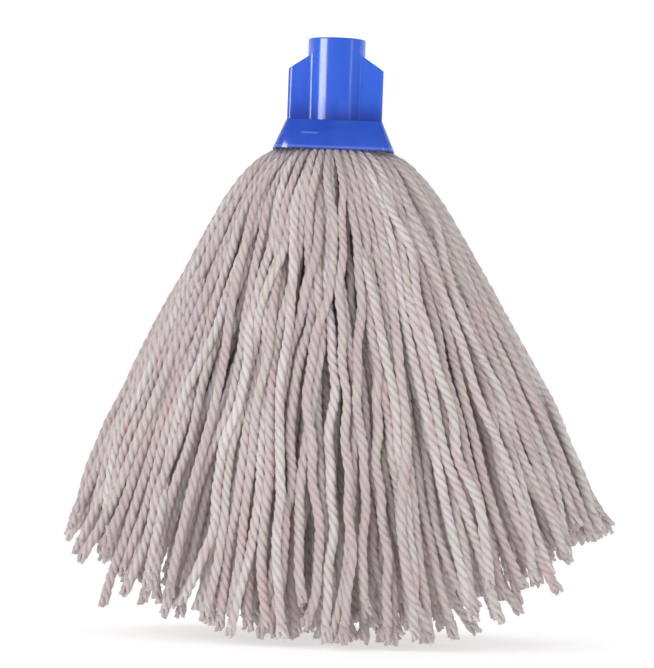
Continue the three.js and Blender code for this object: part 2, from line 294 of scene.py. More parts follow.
@dataclass(frozen=True)
class SocketPlastic(Finish):
    """Glossy blue moulding plastic, with faint flow marks and handling scuffs, painted shade just above the
    skirt's ledge and over the skirt, and painted highlights on the skirt's lip and raised bar.
    """

    title: str = "blue_moulding"
    deep: Colour = (0.021, 0.096, 0.660)
    bright: Colour = (0.040, 0.148, 0.800)
    scuff: Colour = (0.150, 0.240, 0.760)
    # The next colour is the dark blue of the painted shade above the skirt's ledge and over the skirt.
    shaded: Colour = (0.012, 0.034, 0.340)
    # The next colour is the pale blue of the painted highlight on the skirt's lip and raised bar.
    highlight_pale: Colour = (0.240, 0.340, 0.800)
    ledge_z: float = 0.2821
    mouth_z: float = 0.2660
    bar_x: float = -0.0132
    bar_rise: float = 0.0087

    def paint(self, sheet: NodeSheet, shader: bpy.types.Node) -> None:
        """Fill in the shader from object coordinates.

        Args:
            sheet: The material's nodes.
            shader: The principled shader.
        """
        place = sheet.add("ShaderNodeTexCoord").outputs["Object"]
        flow = sheet.noise(sheet.vector("MULTIPLY", place, (55.0, 55.0, 18.0)), 1.0, 3.0, 0.55)
        grain = sheet.noise(place, 2400.0, 2.0, 0.5)
        rubs = sheet.noise(sheet.vector("MULTIPLY", place, (900.0, 900.0, 60.0)), 1.0, 2.0, 0.7)
        smears = sheet.noise(place, 70.0, 4.0, 0.65)
        body = sheet.ramp(flow, ((0.30, self.deep), (0.72, self.bright)))
        axes = sheet.add("ShaderNodeSeparateXYZ", {0: place}).outputs
        height_at = axes[2]
        # Painted shade: the plastic is mixed towards the dark shade colour in a band just above the skirt's
        # ledge, and the whole skirt below the ledge takes about a third of that shade.
        low = sheet.math("ADD", height_at, sheet.math("MULTIPLY", flow, 0.010))
        settled = sheet.span(low, (self.ledge_z + 0.001, self.ledge_z + 0.016), (0.85, 0.0))
        above = sheet.span(height_at, (self.ledge_z - 0.0006, self.ledge_z + 0.0002), (0.34, 1.0))
        settled = sheet.math("MULTIPLY", settled, above)
        body = sheet.blend(settled, body, (*self.shaded, 1.0))
        wear = sheet.math("MULTIPLY", sheet.span(rubs, (0.66, 0.80), (0.0, 1.0)), 0.22)
        colour = sheet.blend(wear, body, (*self.scuff, 1.0))
        # Painted highlight: the colour is mixed towards a pale blue along the skirt's lip and over the raised
        # bar.
        colour = sheet.blend(self.painted_highlight(sheet, axes), colour, (*self.highlight_pale, 1.0))
        smeared = sheet.span(smears, (0.35, 0.7), (0.13, 0.20))
        rough = sheet.math("ADD", smeared, sheet.math("MULTIPLY", wear, 0.4))
        height = sheet.math("ADD", sheet.math("MULTIPLY", grain, 0.02), flow)
        bump = sheet.add("ShaderNodeBump", {"Strength": 0.10, "Distance": 0.0004, "Height": height})
        sheet.feed(shader.inputs["Base Color"], colour)
        sheet.feed(shader.inputs["Roughness"], rough)
        sheet.feed(shader.inputs["Normal"], bump.outputs[0])
        shader.inputs["IOR"].default_value = 1.49
        shader.inputs["Specular IOR Level"].default_value = 0.46

    def painted_highlight(self, sheet: NodeSheet, axes: Any) -> Any:
        """Return the share of painted highlight along the skirt's lip and over its raised bar.

        Args:
            sheet: The material's nodes.
            axes: The three object coordinates.

        Returns:
            The share's socket, 0 to 1.
        """
        rise = sheet.math("SUBTRACT", axes[2], self.mouth_z)
        lip = sheet.math(
            "MULTIPLY",
            sheet.span(rise, (0.0003, 0.0008), (0.0, 0.42)),
            sheet.span(rise, (0.0013, 0.0020), (1.0, 0.0)),
        )
        along = sheet.math("ABSOLUTE", sheet.math("SUBTRACT", axes[0], self.bar_x))
        across = sheet.math("ABSOLUTE", sheet.math("SUBTRACT", rise, self.bar_rise))
        bar = sheet.math(
            "MULTIPLY",
            sheet.span(along, (0.0035, 0.0056), (0.60, 0.0)),
            sheet.span(across, (0.0002, 0.0006), (1.0, 0.0)),
        )
        front = sheet.span(axes[1], (-0.018, -0.016), (1.0, 0.0))
        return sheet.math("MAXIMUM", lip, sheet.math("MULTIPLY", bar, front))


@dataclass(frozen=True)
class GalvanisedSteel(Finish):
    """Rolled and galvanised strip, with its grain along the staple."""

    title: str = "galvanised_strip"
    bright: Colour = (0.62, 0.64, 0.66)
    dull: Colour = (0.34, 0.36, 0.38)

    def paint(self, sheet: NodeSheet, shader: bpy.types.Node) -> None:
        """Fill in the shader from object coordinates.

        Args:
            sheet: The material's nodes.
            shader: The principled shader.
        """
        place = sheet.add("ShaderNodeTexCoord").outputs["Object"]
        grain = sheet.noise(sheet.vector("MULTIPLY", place, (400.0, 4000.0, 400.0)), 1.0, 2.0, 0.6)
        spangle = sheet.noise(place, 260.0, 3.0, 0.6)
        colour = sheet.ramp(spangle, ((0.35, self.dull), (0.65, self.bright)))
        bump = sheet.add("ShaderNodeBump", {"Strength": 0.2, "Distance": 0.0002, "Height": grain})
        sheet.feed(shader.inputs["Base Color"], colour)
        sheet.feed(shader.inputs["Roughness"], sheet.span(grain, (0.3, 0.7), (0.28, 0.46)))
        sheet.feed(shader.inputs["Normal"], bump.outputs[0])
        shader.inputs["Metallic"].default_value = 1.0


@dataclass(frozen=True)
class StudioPaper(Finish):
    """The matt white paper sweep of the studio."""

    title: str = "studio_paper"

    def paint(self, sheet: NodeSheet, shader: bpy.types.Node) -> None:
        """Fill in the shader.

        Args:
            sheet: The material's nodes.
            shader: The principled shader.
        """
        place = sheet.add("ShaderNodeTexCoord").outputs["Object"]
        tooth = sheet.noise(place, 900.0, 2.0, 0.6)
        colour = sheet.ramp(tooth, ((0.3, (0.93, 0.93, 0.93)), (0.7, (0.95, 0.95, 0.95))))
        sheet.feed(shader.inputs["Base Color"], colour)
        shader.inputs["Roughness"].default_value = 0.9
        shader.inputs["Specular IOR Level"].default_value = 0.1
        shader.inputs["Emission Color"].default_value = (1.0, 1.0, 1.0, 1.0)
        shader.inputs["Emission Strength"].default_value = 0.50


# ---------------------------------------------------------------------------------------------
# Mesh helpers
# ---------------------------------------------------------------------------------------------


class Cut(Enum):
    """How one solid acts on another."""

    JOIN = "UNION"
    TAKE = "DIFFERENCE"
    SHARE = "INTERSECT"


class Workshop:
    """Makes meshes and objects, and turns live modifiers into plain meshes."""

    @staticmethod
    def place(name: str, mesh: bpy.types.Mesh) -> bpy.types.Object:
        """Put a mesh into the scene as an object at the origin."""
        made = bpy.data.objects.new(name, mesh)
        bpy.context.scene.collection.objects.link(made)
        return made

    @staticmethod
    def drop(made: bpy.types.Object) -> None:
        """Remove an object and its mesh."""
        mesh = made.data
        bpy.data.objects.remove(made, do_unlink=True)
        if isinstance(mesh, bpy.types.Mesh) and mesh.users == 0:
            bpy.data.meshes.remove(mesh)

    @staticmethod
    def settle(made: bpy.types.Object) -> None:
        """Apply an object's modifiers, so that a plain mesh is left."""
        bpy.context.view_layer.update()
        graph = bpy.context.evaluated_depsgraph_get()
        ready = made.evaluated_get(graph)
        mesh = bpy.data.meshes.new_from_object(ready, preserve_all_data_layers=True, depsgraph=graph)
        mesh.name = made.name
        old = made.data
        made.modifiers.clear()
        made.data = mesh
        bpy.data.meshes.remove(old)

    @staticmethod
    def solid(name: str, rings: Sequence[Array]) -> bpy.types.Object:
        """Skin rings of equal length into one closed solid.

        Args:
            name: The object's name.
            rings: Arrays of points, from the lowest up, anticlockwise seen from above.

        Returns:
            The object, with its faces turned outwards.
        """
        form = bmesh.new()
        levels = [[form.verts.new(point) for point in ring] for ring in rings]
        count = len(levels[0])
        for lower, upper in zip(levels, levels[1:]):
            for i in range(count):
                j = (i + 1) % count
                form.faces.new((lower[i], lower[j], upper[j], upper[i]))
        form.faces.new(levels[0][::-1])
        form.faces.new(levels[-1])
        bmesh.ops.recalc_face_normals(form, faces=form.faces)
        mesh = bpy.data.meshes.new(name)
        form.to_mesh(mesh)
        form.free()
        return Workshop.place(name, mesh)

    @staticmethod
    def cut(body: bpy.types.Object, tool: bpy.types.Object, how: Cut) -> None:
        """Join, take away or intersect a tool, and remove it.

        Args:
            body: The solid that is changed.
            tool: The solid that acts on it.
            how: What the tool does.
        """
        modifier = body.modifiers.new("cut", "BOOLEAN")
        modifier.operation = how.value
        modifier.solver = "EXACT"
        modifier.object = tool
        Workshop.settle(body)
        Workshop.drop(tool)

    @staticmethod
    def smooth(made: bpy.types.Object, crease: float) -> None:
        """Shade a mesh smooth, except along edges sharper than an angle."""
        mesh = made.data
        mesh.shade_smooth()
        mesh.set_sharp_from_angle(angle=math.radians(crease))

    @staticmethod
    def dress(made: bpy.types.Object, finish: Finish) -> None:
        """Give an object one finish in its only material slot."""
        made.data.materials.clear()
        made.data.materials.append(finish.material())


def box_corner(node: str) -> tuple[Vector, Vector]:
    """Return a CAD node's lowest and highest corners."""
    low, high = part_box(node)
    return Vector(low), Vector(high)


def flat_ring(outline: Iterable[tuple[float, float]], z: float) -> Array:
    """Lift a flat outline to a height."""
    return np.array([(x, y, z) for x, y in outline])


# ---------------------------------------------------------------------------------------------
# Handle socket
# ---------------------------------------------------------------------------------------------


@dataclass
class HandleSocket:
    """The moulded socket: a ribbed tube for the handle, two hollow wings and a flared skirt."""

    tube_radius: float = 0.01575
    bore_radius: float = 0.0127
    rim_round: float = 0.0008
    grip_ribs: int = 8
    grip_width: float = 0.0012
    grip_depth: float = 0.0008
    grip_top_drop: float = 0.006
    wing_half: float = 0.0260
    wing_half_y: float = 0.0087
    wing_shoulder: float = 0.0281
    wing_slope: float = 33.7
    wing_edge: float = 0.0025
    wing_fillet: float = 0.0030
    pocket_inner: float = 0.0172
    pocket_outer: float = 0.0238
    pocket_half_y: float = 0.0065
    pocket_top_drop: float = 0.0038
    skirt_height: float = 0.0161
    skirt_top_half_y: float = 0.0215
    skirt_top_corner: float = 0.0040
    skirt_mouth_corner: float = 0.0120
    skirt_wall: float = 0.0023
    skirt_plate: float = 0.0024
    edge_round: float = 0.00045
    round_steps: int = 128
    corner_steps: int = 10
    finish: SocketPlastic = field(default_factory=SocketPlastic)

    def __post_init__(self) -> None:
        """Read the socket's heights and mouth from its CAD node."""
        low, high = box_corner("socket_body")
        self.mouth_z = low.z
        self.rim_z = high.z
        self.ledge_z = low.z + self.skirt_height
        self.mouth_half_x = high.x
        self.mouth_half_y = high.y

    def circle(self, radius: float, z: float) -> Array:
        """Return a ring of points round the axis."""
        steps = range(self.round_steps)
        turn = TAU / self.round_steps
        return np.array([(radius * math.cos(i * turn), radius * math.sin(i * turn), z) for i in steps])

    def skirt_ring(self, rise: float, inset: float, z: float) -> Array:
        """Return the skirt's rounded outline at a height.

        Args:
            rise: Height above the mouth that sets the outline.
            inset: How far the outline is drawn in.
            z: Where the ring is placed.

        Returns:
            The ring's points.
        """
        share = rise / self.skirt_height
        half_x = self.mouth_half_x + (self.wing_half - self.mouth_half_x) * share - inset
        half_y = self.mouth_half_y + (self.skirt_top_half_y - self.mouth_half_y) * share - inset
        corner = self.skirt_mouth_corner + (self.skirt_top_corner - self.skirt_mouth_corner) * share - inset
        corner = max(corner, 0.001)
        ring = []
        for quarter in range(4):
            sign_x = 1 if quarter in (0, 3) else -1
            sign_y = 1 if quarter < 2 else -1
            for step in range(self.corner_steps + 1):
                angle = (quarter + step / self.corner_steps) * math.pi / 2
                x = sign_x * (half_x - corner) + corner * math.cos(angle)
                y = sign_y * (half_y - corner) + corner * math.sin(angle)
                ring.append((x, y, z))
        return np.array(ring)

    def wing_plan(self) -> list[tuple[float, float]]:
        """Return the outline of both wings, with the fillets that run into the tube."""
        reach = self.tube_radius + self.wing_fillet
        fillet_y = self.wing_half_y + self.wing_fillet
        fillet_x = math.sqrt(reach**2 - fillet_y**2)
        meet = math.atan2(fillet_y, fillet_x)
        quarter: list[tuple[float, float]] = []
        for step in range(self.corner_steps + 1):
            angle = step / self.corner_steps * math.pi / 2
            x = self.wing_half - self.wing_edge * (1 - math.cos(angle))
            y = self.wing_half_y - self.wing_edge * (1 - math.sin(angle))
            quarter.append((x, y))
        for step in range(self.corner_steps + 1):
            angle = -math.pi / 2 + (meet - math.pi / 2) * step / self.corner_steps
            x = fillet_x + self.wing_fillet * math.cos(angle)
            y = fillet_y + self.wing_fillet * math.sin(angle)
            quarter.append((x, y))
        half = quarter + [(-x, y) for x, y in reversed(quarter)]
        return half + [(-x, -y) for x, y in half]

    def wings(self) -> bpy.types.Object:
        """Build both wings, bevelled from their shoulders up into the tube."""
        slope = math.tan(math.radians(self.wing_slope))
        root_x = math.sqrt(self.tube_radius**2 - (self.wing_half_y + self.wing_fillet) ** 2)
        shoulder = self.ledge_z + self.wing_shoulder
        crown = shoulder + (self.wing_half - root_x) * slope
        bottom = self.ledge_z - self.skirt_plate / 2
        plan = self.wing_plan()
        wings = Workshop.solid("wings", [flat_ring(plan, bottom), flat_ring(plan, crown)])
        over = 0.001
        side_x = self.wing_half + over
        gable = [
            (-side_x, bottom - over),
            (side_x, bottom - over),
            (side_x, shoulder - over * slope),
            (root_x, crown),
            (-root_x, crown),
            (-side_x, shoulder - over * slope),
        ]
        depth = 2 * self.wing_half_y
        rings = [np.array([(x, y, z) for x, z in gable]) for y in (-depth, depth)]
        Workshop.cut(wings, Workshop.solid("gable", rings), Cut.SHARE)
        return wings

    def tube(self) -> bpy.types.Object:
        """Build the solid tube with its rounded rim."""
        rings = [self.circle(self.tube_radius, self.ledge_z - self.skirt_plate / 2)]
        for step in range(5):
            angle = step / 4 * math.pi / 2
            radius = self.tube_radius - self.rim_round * (1 - math.cos(angle))
            rings.append(self.circle(radius, self.rim_z - self.rim_round * (1 - math.sin(angle))))
        return Workshop.solid("tube", rings)

    def block(self, low: Sequence[float], high: Sequence[float]) -> bpy.types.Object:
        """Build a plain block between two corners."""
        outline = [(low[0], low[1]), (high[0], low[1]), (high[0], high[1]), (low[0], high[1])]
        return Workshop.solid("block", [flat_ring(outline, low[2]), flat_ring(outline, high[2])])

    def grip_rib(self, index: int) -> bpy.types.Object:
        """Build one of the ribs that grip the handle."""
        low = (self.bore_radius - self.grip_depth, -self.grip_width / 2, self.ledge_z - self.skirt_plate / 2)
        high = (self.bore_radius + 0.0015, self.grip_width / 2, self.rim_z - self.grip_top_drop)
        rib = self.block(low, high)
        rib.data.transform(Matrix.Rotation((index + 0.5) / self.grip_ribs * TAU, 4, "Z"))
        return rib

    def skirt_bar(self) -> bpy.types.Object:
        """Build the short raised bar on the skirt's front."""
        lean = math.atan2(self.mouth_half_y - self.skirt_top_half_y, self.skirt_height)
        rise = self.finish.bar_rise
        front = self.mouth_half_y - (self.mouth_half_y - self.skirt_top_half_y) * rise / self.skirt_height
        bar = self.block((-0.0054, -0.0004, -0.0004), (0.0054, 0.0010, 0.0004))
        bar.data.transform(Matrix.Rotation(-lean, 4, "X"))
        bar.data.transform(Matrix.Translation((self.finish.bar_x, -front, self.mouth_z + rise)))
        return bar

    def build(self) -> bpy.types.Object:
        """Make the socket and stand it in for its CAD node.

        Returns:
            The finished piece.
        """
        body = self.tube()
        body.name = "handle_socket"
        Workshop.cut(body, self.wings(), Cut.JOIN)
        bore = [self.circle(self.bore_radius, z) for z in (self.ledge_z, self.rim_z + 0.001)]
        Workshop.cut(body, Workshop.solid("bore", bore), Cut.TAKE)
        for index in range(self.grip_ribs):
            Workshop.cut(body, self.grip_rib(index), Cut.JOIN)
        rings = [self.skirt_ring(0, 0, self.mouth_z), self.skirt_ring(self.skirt_height, 0, self.ledge_z)]
        Workshop.cut(body, Workshop.solid("skirt", rings), Cut.JOIN)
        ceiling = self.skirt_height - self.skirt_plate
        rings = [
            self.skirt_ring(-0.001, self.skirt_wall, self.mouth_z - 0.001),
            self.skirt_ring(ceiling, self.skirt_wall, self.mouth_z + ceiling),
        ]
        Workshop.cut(body, Workshop.solid("cavity", rings), Cut.TAKE)
        top = self.ledge_z + self.wing_shoulder - self.pocket_top_drop
        for low_x, high_x in (
            (self.pocket_inner, self.pocket_outer),
            (-self.pocket_outer, -self.pocket_inner),
        ):
            low = (low_x, -self.pocket_half_y, self.mouth_z + ceiling - 0.001)
            Workshop.cut(body, self.block(low, (high_x, self.pocket_half_y, top)), Cut.TAKE)
        Workshop.cut(body, self.skirt_bar(), Cut.JOIN)
        self.round_edges(body)
        Workshop.dress(body, self.finish)
        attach(body, "root")
        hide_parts("socket_body")
        LOG.info("handle_socket: %d faces", len(body.data.polygons))
        return body

    def round_edges(self, body: bpy.types.Object) -> None:
        """Merge stray points, round the moulded edges and shade the result."""
        form = bmesh.new()
        form.from_mesh(body.data)
        bmesh.ops.remove_doubles(form, verts=form.verts, dist=0.00003)
        bmesh.ops.dissolve_limit(
            form, angle_limit=math.radians(0.5), verts=form.verts, edges=form.edges, delimit={"NORMAL"}
        )
        form.to_mesh(body.data)
        form.free()
        modifier = body.modifiers.new("edges", "BEVEL")
        modifier.width = self.edge_round
        modifier.segments = 2
        modifier.limit_method = "ANGLE"
        modifier.angle_limit = math.radians(32)
        modifier.harden_normals = False
        Workshop.settle(body)
        Workshop.smooth(body, 32)


@dataclass
class YarnStaple:
    """The steel staple, whose CAD shape is kept and given its finish."""

    finish: GalvanisedSteel = field(default_factory=GalvanisedSteel)

    def build(self) -> None:
        """Dress the CAD node."""
        node = FRAME["nodes"]["yarn_staple"]
        for slot in node.material_slots:
            slot.material = self.finish.material()
        LOG.info("yarn_staple: dressed")


# ---------------------------------------------------------------------------------------------
# Yarn
# ---------------------------------------------------------------------------------------------


@dataclass(frozen=True)
class YarnMake:
    """Sizes of one make of plied yarn."""

    radius: float = 0.00275
    plies: int = 3
    lay: float = 0.0185
    groove: float = 0.74
    step: float = 0.0016
    around: int = 24
    neck_share: float = 0.56
    settle: float = 0.030
    inside: float = 0.008
    tufted: bool = True
    hairs: float = 11000.0


class YarnTree:
    """The geometry tree that twists plied yarn along the edges of a mesh."""

    def __init__(self, tufts: bpy.types.Collection, finish: Finish) -> None:
        """Build the tree.

        Args:
            tufts: The collection of frayed ends that the tree picks from.
            finish: The yarn's finish.
        """
        self.tufts = tufts
        self.finish = finish
        self.tree = bpy.data.node_groups.new("plied_yarn", "GeometryNodeTree")
        self.keys: dict[str, str] = {}
        for title, kind in (
            ("Geometry", "NodeSocketGeometry"),
            ("Radius", "NodeSocketFloat"),
            ("Plies", "NodeSocketInt"),
            ("Lay", "NodeSocketFloat"),
            ("Groove", "NodeSocketFloat"),
            ("Step", "NodeSocketFloat"),
            ("Around", "NodeSocketInt"),
            ("Neck Share", "NodeSocketFloat"),
            ("Settle", "NodeSocketFloat"),
            ("Inside", "NodeSocketFloat"),
            ("Tufted", "NodeSocketBool"),
            ("Hairs", "NodeSocketFloat"),
            ("Seed", "NodeSocketInt"),
            ("Tufts", "NodeSocketCollection"),
            ("Finish", "NodeSocketMaterial"),
        ):
            socket = self.tree.interface.new_socket(title, in_out="INPUT", socket_type=kind)
            self.keys[title] = socket.identifier
        self.tree.interface.new_socket("Geometry", in_out="OUTPUT", socket_type="NodeSocketGeometry")
        self.fill()

    def fill(self) -> None:
        """Lay out the tree's nodes."""
        sheet = NodeSheet(self.tree)
        given = sheet.add("NodeGroupInput").outputs
        lines = sheet.add("GeometryNodeMeshToCurve", {0: given["Geometry"]}).outputs[0]
        smooth = sheet.add("GeometryNodeCurveSplineType", {"Curve": lines}, spline_type="CATMULL_ROM")
        even = sheet.add(
            "GeometryNodeResampleCurve", {"Curve": smooth.outputs[0], "Length": given["Step"]}, mode="LENGTH"
        )
        strand = sheet.add("GeometryNodeCurveOfPoint").outputs["Curve Index"]
        along = sheet.add("GeometryNodeSplineParameter").outputs["Length"]
        tone = self.chance(sheet, strand, given["Seed"], 0, 0.0, 1.0)
        start = self.chance(sheet, strand, given["Seed"], 1, 0.0, TAU)
        shift = self.chance(sheet, strand, given["Seed"], 2, 0.0, 9.0)
        toned = self.store(sheet, even.outputs[0], "tone", tone, "FLOAT")
        turn = sheet.math(
            "ADD", sheet.math("MULTIPLY", sheet.math("DIVIDE", along, given["Lay"]), -TAU), start
        )
        run = sheet.add("ShaderNodeCombineXYZ", {0: sheet.math("ADD", along, shift)}).outputs[0]
        uneven = sheet.span(sheet.noise(run, 28.0, 1.0), (0.25, 0.75), (-1.5, 1.5))
        turn = sheet.math("ADD", turn, uneven)
        length = self.store(sheet, toned, "along", sheet.math("ADD", along, shift), "FLOAT")
        twisted = sheet.add("GeometryNodeSetCurveTilt", {"Curve": length, "Tilt": turn}).outputs[0]
        turned = self.store(sheet, twisted, "turn", turn, "FLOAT")
        profile = self.profile(sheet, given)
        below = sheet.math("SUBTRACT", along, given["Inside"])
        settled = sheet.math("DIVIDE", below, given["Settle"])
        fade = sheet.math("EXPONENT", sheet.math("MULTIPLY", settled, -1.0))
        slack = sheet.math("SUBTRACT", 1.0, given["Neck Share"])
        share = sheet.math("SUBTRACT", 1.0, sheet.math("MULTIPLY", slack, sheet.math("MINIMUM", fade, 1.0)))
        swell = sheet.math(
            "MULTIPLY",
            sheet.span(sheet.noise(run, 60.0, 2.0), (0.3, 0.7), (0.92, 1.08)),
            self.chance(sheet, strand, given["Seed"], 5, 0.93, 1.07),
        )
        scale = sheet.math("MULTIPLY", share, swell)
        swept = sheet.add(
            "GeometryNodeCurveToMesh",
            {"Curve": turned, "Profile Curve": profile, "Scale": scale, "Fill Caps": True},
        ).outputs[0]
        self.finish_tree(sheet, given, swept, turned, strand)

    def finish_tree(self, sheet: NodeSheet, given: Any, swept: Any, spine: Any, strand: Any) -> None:
        """Store the fibre direction, put a tuft on each end and close the tree.

        Args:
            sheet: The tree's nodes.
            given: The tree's inputs.
            swept: The swept yarn.
            spine: The yarn's centre lines.
            strand: The number of each strand.
        """
        rim = self.read(sheet, "rim", "FLOAT_VECTOR")
        turned = sheet.add(
            "ShaderNodeVectorRotate",
            {"Vector": rim, "Angle": self.read(sheet, "turn", "FLOAT")},
            rotation_type="Z_AXIS",
        ).outputs[0]
        parts = sheet.add("ShaderNodeSeparateXYZ", {0: turned}).outputs
        place = sheet.add(
            "ShaderNodeCombineXYZ", {0: parts[0], 1: parts[1], 2: self.read(sheet, "along", "FLOAT")}
        ).outputs[0]
        stored = self.store(sheet, swept, "fibre", place, "FLOAT_VECTOR")
        where = sheet.vector("MULTIPLY", place, (1.6, 1.6, 620.0))
        lump = sheet.span(sheet.noise(where, 1.0, 2.0, 0.6), (0.25, 0.75), (-0.00018, 0.00018))
        facing = sheet.add("GeometryNodeInputNormal").outputs[0]
        raised = sheet.add("ShaderNodeVectorMath", {0: facing, "Scale": lump}, operation="SCALE").outputs[0]
        yarn = sheet.add("GeometryNodeSetPosition", {"Geometry": stored, "Offset": raised}).outputs[0]
        last = sheet.add("GeometryNodeCurveEndpointSelection", {"Start Size": 0, "End Size": 1}).outputs[0]
        wanted = sheet.add(
            "FunctionNodeBooleanMath", {0: last, 1: given["Tufted"]}, operation="AND"
        ).outputs[0]
        ends = sheet.add("GeometryNodeCollectionInfo", {0: given["Tufts"], 1: True, 2: True}).outputs[0]
        aim = sheet.add(
            "FunctionNodeAlignRotationToVector",
            {"Vector": sheet.add("GeometryNodeInputTangent").outputs[0]},
            axis="Z",
        ).outputs[0]
        spin = sheet.add("ShaderNodeCombineXYZ", {2: self.chance(sheet, strand, given["Seed"], 3, 0.0, TAU)})
        rotate = sheet.add(
            "FunctionNodeRotateRotation",
            {0: aim, 1: sheet.add("FunctionNodeEulerToRotation", {0: spin.outputs[0]}).outputs[0]},
            rotation_space="LOCAL",
        ).outputs[0]
        pick = sheet.add(
            "FunctionNodeRandomValue", {"ID": strand, "Seed": given["Seed"]}, data_type="INT"
        )
        pick.inputs[4].default_value = 0
        pick.inputs[5].default_value = 50
        size = self.chance(sheet, strand, given["Seed"], 4, 0.88, 1.12)
        tufts = sheet.add(
            "GeometryNodeInstanceOnPoints",
            {
                "Points": spine,
                "Selection": wanted,
                "Instance": ends,
                "Pick Instance": True,
                "Instance Index": pick.outputs[2],
                "Rotation": rotate,
                "Scale": size,
            },
        ).outputs[0]
        joined = sheet.add("GeometryNodeJoinGeometry")
        sheet.feed(joined.inputs[0], self.fuzz(sheet, given, yarn))
        sheet.feed(joined.inputs[0], tufts)
        sheet.feed(joined.inputs[0], yarn)
        shaded = sheet.add("GeometryNodeSetShadeSmooth", {0: joined.outputs[0]}).outputs[0]
        real = sheet.add("GeometryNodeRealizeInstances", {0: shaded}).outputs[0]
        dressed = sheet.add("GeometryNodeSetMaterial", {"Geometry": real, "Material": given["Finish"]})
        sheet.add("NodeGroupOutput", {0: dressed.outputs[0]})

    def fuzz(self, sheet: NodeSheet, given: Any, yarn: Any) -> Any:
        """Scatter short loose hairs over the yarn.

        Args:
            sheet: The tree's nodes.
            given: The tree's inputs.
            yarn: The swept yarn.

        Returns:
            The hairs.
        """
        scatter = sheet.add(
            "GeometryNodeDistributePointsOnFaces",
            {"Mesh": yarn, "Density": given["Hairs"], "Seed": given["Seed"]},
            distribute_method="RANDOM",
        ).outputs
        hair = sheet.add("GeometryNodeMeshCone", {"Vertices": 3, "Side Segments": 1, "Fill Segments": 1})
        hair.inputs["Radius Top"].default_value = 0.00001
        hair.inputs["Radius Bottom"].default_value = 0.00008
        hair.inputs["Depth"].default_value = 0.0018
        number = sheet.add("GeometryNodeInputIndex").outputs[0]
        lean = sheet.add(
            "ShaderNodeCombineXYZ",
            {
                0: self.chance(sheet, number, given["Seed"], 6, -1.1, 1.1),
                1: self.chance(sheet, number, given["Seed"], 7, -1.1, 1.1),
            },
        ).outputs[0]
        rotate = sheet.add(
            "FunctionNodeRotateRotation",
            {0: scatter[2], 1: sheet.add("FunctionNodeEulerToRotation", {0: lean}).outputs[0]},
            rotation_space="LOCAL",
        ).outputs[0]
        return sheet.add(
            "GeometryNodeInstanceOnPoints",
            {
                "Points": scatter[0],
                "Instance": hair.outputs[0],
                "Rotation": rotate,
                "Scale": self.chance(sheet, number, given["Seed"], 8, 0.5, 1.15),
            },
        ).outputs[0]

    def profile(self, sheet: NodeSheet, given: Any) -> Any:
        """Lay out the lobed section of the plied yarn.

        Args:
            sheet: The tree's nodes.
            given: The tree's inputs.

        Returns:
            The profile curve's socket.
        """
        ring = sheet.add(
            "GeometryNodeCurvePrimitiveCircle",
            {"Resolution": given["Around"], "Radius": given["Radius"]},
            mode="RADIUS",
        ).outputs[0]
        spot = sheet.add("GeometryNodeInputPosition").outputs[0]
        parts = sheet.add("ShaderNodeSeparateXYZ", {0: spot}).outputs
        angle = sheet.math("ARCTAN2", parts[1], parts[0])
        wave = sheet.math("COSINE", sheet.math("MULTIPLY", angle, given["Plies"]))
        lobe = sheet.math("POWER", sheet.math("MULTIPLY_ADD", wave, 0.5, 0.5), 0.5)
        raised = sheet.math(
            "MULTIPLY_ADD", lobe, sheet.math("SUBTRACT", 1.0, given["Groove"]), given["Groove"]
        )
        # crest also drives the yarn finish's painted shade in the grooves between plies.
        marked = self.store(sheet, ring, "crest", lobe, "FLOAT")
        rimmed = self.store(sheet, marked, "rim", sheet.vector("NORMALIZE", spot), "FLOAT_VECTOR")
        scaled = sheet.add("ShaderNodeVectorMath", {0: spot, "Scale": raised}, operation="SCALE").outputs[0]
        return sheet.add("GeometryNodeSetPosition", {"Geometry": rimmed, "Position": scaled}).outputs[0]

    @staticmethod
    def chance(sheet: NodeSheet, strand: Any, seed: Any, offset: int, low: float, high: float) -> Any:
        """Return a random number for each strand.

        Args:
            sheet: The tree's nodes.
            strand: The number of each strand.
            seed: The tree's seed.
            offset: Added to the seed, so that each use differs.
            low: The least value.
            high: The greatest value.

        Returns:
            The number's socket.
        """
        node = sheet.add("FunctionNodeRandomValue", {"ID": strand}, data_type="FLOAT")
        node.inputs[2].default_value = low
        node.inputs[3].default_value = high
        sheet.feed(node.inputs["Seed"], sheet.math("ADD", seed, float(offset * 37)))
        return node.outputs[1]

    @staticmethod
    def store(sheet: NodeSheet, geometry: Any, name: str, value: Any, kind: str) -> Any:
        """Store a named attribute on points and return the geometry."""
        node = sheet.add("GeometryNodeStoreNamedAttribute", data_type=kind, domain="POINT")
        sheet.feed(node.inputs["Geometry"], geometry)
        node.inputs["Name"].default_value = name
        sheet.feed(node.inputs["Value"], value)
        return node.outputs[0]

    @staticmethod
    def read(sheet: NodeSheet, name: str, kind: str) -> Any:
        """Read a named attribute."""
        node = sheet.add("GeometryNodeInputNamedAttribute", data_type=kind)
        node.inputs["Name"].default_value = name
        return node.outputs[0]

    @staticmethod
    def trim(mesh: bpy.types.Mesh) -> None:
        """Drop the attributes that only the tree needed, and any empty material slot."""
        for name in ("rim", "turn", "along", "id"):
            if name in mesh.attributes:
                mesh.attributes.remove(mesh.attributes[name])
        kept = [material for material in mesh.materials if material is not None]
        mesh.materials.clear()
        for material in kept[:1]:
            mesh.materials.append(material)
        mesh.polygons.foreach_set("material_index", np.zeros(len(mesh.polygons), dtype=np.int32))

